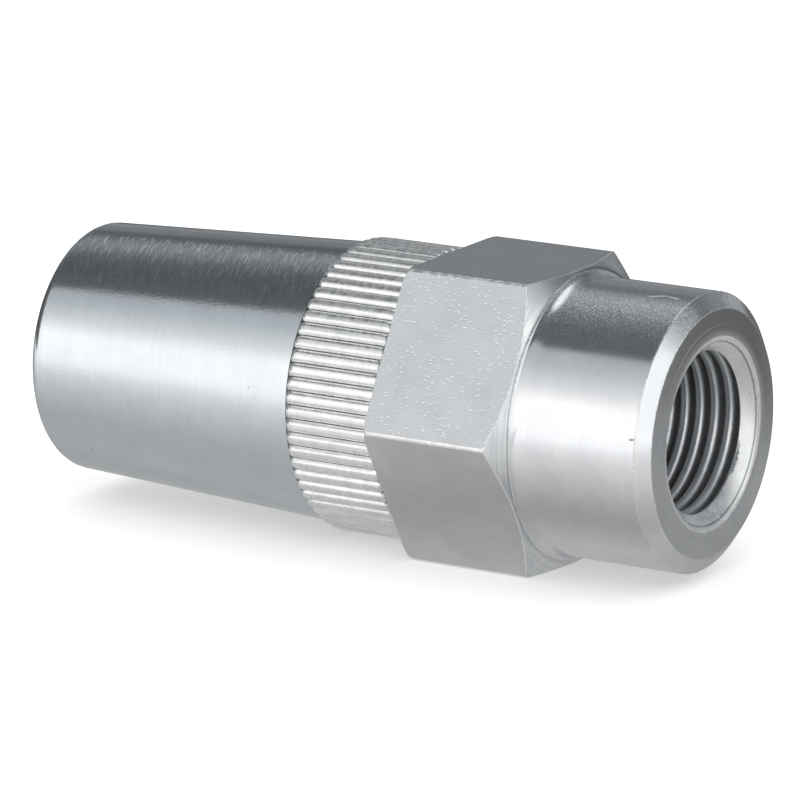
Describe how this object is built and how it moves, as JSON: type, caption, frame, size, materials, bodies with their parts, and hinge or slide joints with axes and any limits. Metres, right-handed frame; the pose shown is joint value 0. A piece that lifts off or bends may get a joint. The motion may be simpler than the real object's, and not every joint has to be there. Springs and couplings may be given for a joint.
{
  "type": "grease coupler adapter",
  "caption": "Screw-on grease coupler: hexagon body with a female inlet thread, and a knurled tapered nose sleeve whose spring-driven jaws grip a grease nipple.",
  "frame": {"origin": "centre of the inlet thread's mouth, in the plane of the neck's end face", "axes": "+X along the axis, out of the inlet thread; +Z the normal of the hexagon's upper flat"},
  "size_m": [0.0392, 0.0184, 0.0162],
  "materials": {
    "zinc_plated_body": "bright zinc plated, turned and drawn",
    "zinc_plated_sleeve": "bright zinc plated, fine turned",
    "turned_steel": "plain turned",
    "hardened_steel": "hardened and ground",
    "hardened_jaw": "hardened, oil blackened",
    "polished_ball": "polished",
    "spring_wire": "drawn spring wire",
    "nitrile_packing": "moulded, satin",
    "nitrile_seal": "moulded, satin",
    "ptfe_ring": "smooth"
  },
  "bodies": {
    "sleeve": {"nose_sleeve": "zinc_plated_sleeve"},
    "piston": {"piston": "turned_steel", "nipple_packing": "nitrile_packing", "packing_washer": "turned_steel", "piston_o_ring": "nitrile_seal", "piston_backup_ring": "ptfe_ring", "valve_seat": "hardened_steel", "check_spring": "spring_wire", "jaw_spreader_ring": "spring_wire"},
    "check_ball": {"check_ball": "polished_ball"},
    "spring_end": {"main_spring": "spring_wire"},
    "adapter": {"adapter_body": "zinc_plated_body"},
    "jaw_1": {"gripping_jaw_1": "hardened_jaw"},
    "jaw_2": {"gripping_jaw_2": "hardened_jaw"},
    "jaw_3": {"gripping_jaw_3": "hardened_jaw"},
    "jaw_4": {"gripping_jaw_4": "hardened_jaw"}
  },
  "joints": [
    {"name": "piston_stroke", "type": "slide", "parent": "sleeve", "child": "piston", "axis": [1, 0, 0], "range_m": [0, 0.0028], "stiffness_N_per_m": 3600, "springref_m": -0.003, "deforming": ["main_spring"]},
    {"name": "check_lift", "type": "slide", "parent": "piston", "child": "check_ball", "axis": [-1, 0, 0], "range_m": [0, 0.0008], "stiffness_N_per_m": 150, "springref_m": -0.001, "deforming": ["check_spring"]},
    {"name": "adapter_retreat", "type": "slide", "parent": "sleeve", "child": "spring_end", "axis": [1, 0, 0], "range_m": [0, 0.007]},
    {"name": "adapter_turn", "type": "hinge", "parent": "spring_end", "child": "adapter", "pos_m": [0, 0, 0], "axis": [1, 0, 0], "range_deg": [0, 2520]},
    {"name": "jaw_1_slide", "type": "slide", "parent": "sleeve", "child": "jaw_1", "axis": [0.9659, 0.183, 0.183], "range_m": [0, 0.0029]},
    {"name": "jaw_2_slide", "type": "slide", "parent": "sleeve", "child": "jaw_2", "axis": [0.9659, -0.183, 0.183], "range_m": [0, 0.0029]},
    {"name": "jaw_3_slide", "type": "slide", "parent": "sleeve", "child": "jaw_3", "axis": [0.9659, -0.183, -0.183], "range_m": [0, 0.0029]},
    {"name": "jaw_4_slide", "type": "slide", "parent": "sleeve", "child": "jaw_4", "axis": [0.9659, 0.183, -0.183], "range_m": [0, 0.0029]}
  ],
  "couplings": [
    {"joint": "adapter_turn", "follows": "adapter_retreat", "rad_per_m": 6283.2},
    {"joint": "jaw_1_slide", "follows": "piston_stroke", "ratio": 1.0353},
    {"joint": "jaw_2_slide", "follows": "piston_stroke", "ratio": 1.0353},
    {"joint": "jaw_3_slide", "follows": "piston_stroke", "ratio": 1.0353},
    {"joint": "jaw_4_slide", "follows": "piston_stroke", "ratio": 1.0353}
  ]
}
